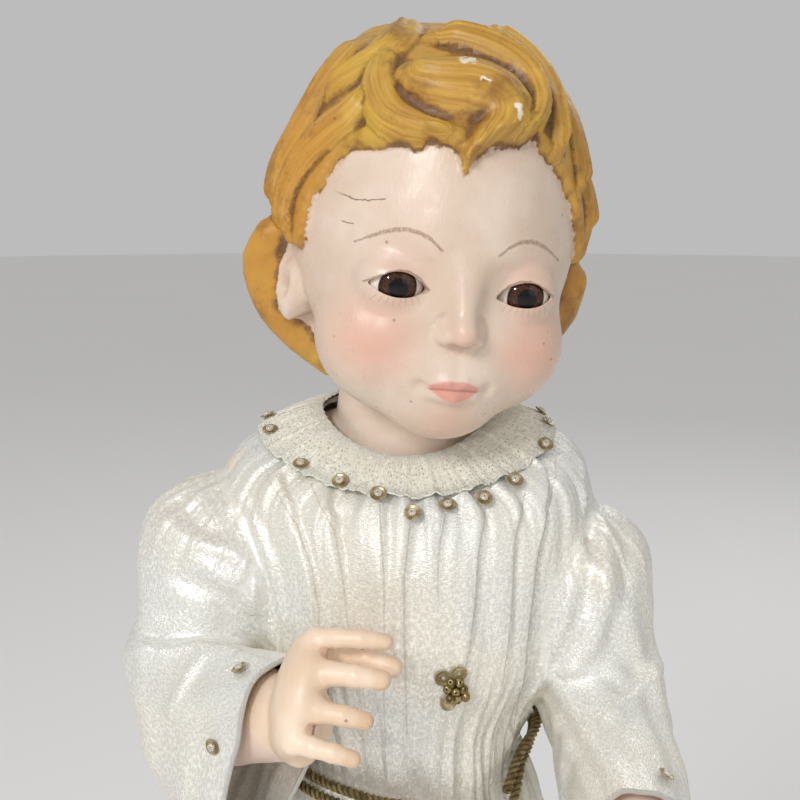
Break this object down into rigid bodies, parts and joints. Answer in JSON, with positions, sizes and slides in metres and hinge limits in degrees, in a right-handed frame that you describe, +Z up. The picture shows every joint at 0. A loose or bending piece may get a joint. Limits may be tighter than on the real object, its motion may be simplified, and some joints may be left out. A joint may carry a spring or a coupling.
{
  "type": "devotional child statue",
  "caption": "Standing painted wooden child figure with glass eyes in a real satin gown, lace collar and gold waist cord, right hand raised, on a low round base.",
  "frame": {"origin": "centre of the base's underside", "axes": "+Z up, the figure faces -Y and its left side is towards +X"},
  "size_m": [0.16, 0.1619, 0.4319],
  "materials": {
    "painted_wood": "glossy oil paint on carved wood, yellow-brown hair, cracked and chipped in places",
    "dark_glass": "polished dark brown",
    "satin": "off-white satin with a pearly sheen",
    "lace": "cream crocheted cotton",
    "dark_wood": "turned and waxed",
    "gold_cord": "twisted metallic gold thread, dulled",
    "gilt_metal": "tarnished gilt sequins with beads"
  },
  "bodies": {
    "root": {"carved_figure": "painted_wood", "glass_eye_right": "dark_glass", "glass_eye_left": "dark_glass", "satin_gown": "satin", "lace_collar": "lace", "turned_base": "dark_wood", "waist_cord": "gold_cord", "cord_end_right": "gold_cord", "cord_end_left": "gold_cord", "cord_knot": "gold_cord", "sequin_neck_01": "gilt_metal", "sequin_neck_02": "gilt_metal", "sequin_neck_03": "gilt_metal", "sequin_neck_04": "gilt_metal", "sequin_neck_05": "gilt_metal", "sequin_neck_06": "gilt_metal", "sequin_neck_07": "gilt_metal", "sequin_neck_08": "gilt_metal", "sequin_neck_09": "gilt_metal", "sequin_neck_10": "gilt_metal", "sequin_neck_11": "gilt_metal", "sequin_neck_12": "gilt_metal", "sequin_cuff_right_01": "gilt_metal", "sequin_cuff_right_02": "gilt_metal", "sequin_cuff_right_03": "gilt_metal", "sequin_cuff_right_04": "gilt_metal", "sequin_cuff_left_01": "gilt_metal", "sequin_cuff_left_02": "gilt_metal", "sequin_cuff_left_03": "gilt_metal", "chest_ornament": "gilt_metal"}
  },
  "joints": []
}
